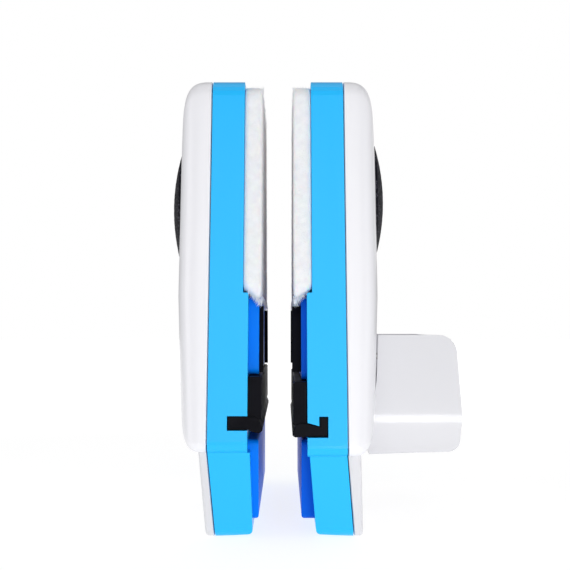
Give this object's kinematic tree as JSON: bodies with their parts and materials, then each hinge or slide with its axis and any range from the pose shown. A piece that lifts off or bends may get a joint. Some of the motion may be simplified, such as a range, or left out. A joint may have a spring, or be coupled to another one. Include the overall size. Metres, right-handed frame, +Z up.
{
  "type": "magnetic glass cleaner",
  "caption": "Two-sided magnetic glass wiper: two domed halves with fleece pads and squeegee blades face each other across a pane gap, one with a bridge handle.",
  "frame": {"origin": "centre of the inner pad's face where it rests on the pane", "axes": "+X out of the inner half, away from the pane, towards the handle; Y across the width, with the object symmetric about Y = 0; +Z up, towards the pads and away from the chins"},
  "size_m": [0.108, 0.1398, 0.161],
  "materials": {
    "frame_blue": "glossy moulded plastic, sky blue",
    "bed_blue": "glossy moulded plastic, deeper blue",
    "shell_white": "satin-gloss moulded plastic, white",
    "handle_white": "satin-gloss moulded plastic, greyish white",
    "grip_rubber": "matt rubber with a fine speckled texture",
    "blade_rubber": "smooth soft rubber",
    "fleece": "deep white fleece",
    "hook_fabric": "woven hook tape",
    "magnet_metal": "nickel plating",
    "yoke_steel": "zinc-plated steel sheet",
    "screw_steel": "zinc-plated screws",
    "eyelet_plastic": "black moulded plastic"
  },
  "bodies": {
    "inner_half": {"inner_base_frame": "frame_blue", "inner_shell": "shell_white", "inner_grip_dome": "grip_rubber", "inner_pad": "fleece", "inner_hook_strip": "hook_fabric", "inner_upper_bed": "bed_blue", "inner_lower_bed": "bed_blue", "inner_side_lips": "blade_rubber", "inner_magnets": "magnet_metal", "inner_yoke_plate": "yoke_steel", "inner_cord_eyelet": "eyelet_plastic", "inner_case_screws": "screw_steel", "handle": "handle_white", "handle_screws": "screw_steel"},
    "outer_half": {"outer_base_frame": "frame_blue", "outer_shell": "shell_white", "outer_grip_dome": "grip_rubber", "outer_pad": "fleece", "outer_hook_strip": "hook_fabric", "outer_upper_bed": "bed_blue", "outer_lower_bed": "bed_blue", "outer_side_lips": "blade_rubber", "outer_magnets": "magnet_metal", "outer_yoke_plate": "yoke_steel", "outer_cord_eyelet": "eyelet_plastic", "outer_case_screws": "screw_steel"},
    "inner_blade": {"inner_main_blade": "blade_rubber"},
    "outer_blade": {"outer_main_blade": "blade_rubber"}
  },
  "joints": [
    {"name": "outer_half_pull_off", "type": "slide", "parent": "inner_half", "child": "outer_half", "axis": [-1, 0, 0], "range_m": [0, 0.06], "stiffness_N_per_m": 100, "springref_m": -0.2},
    {"name": "inner_blade_slide_out", "type": "slide", "parent": "inner_half", "child": "inner_blade", "axis": [0, -1, 0], "range_m": [0, 0.142]},
    {"name": "outer_blade_slide_out", "type": "slide", "parent": "outer_half", "child": "outer_blade", "axis": [0, -1, 0], "range_m": [0, 0.142]}
  ]
}
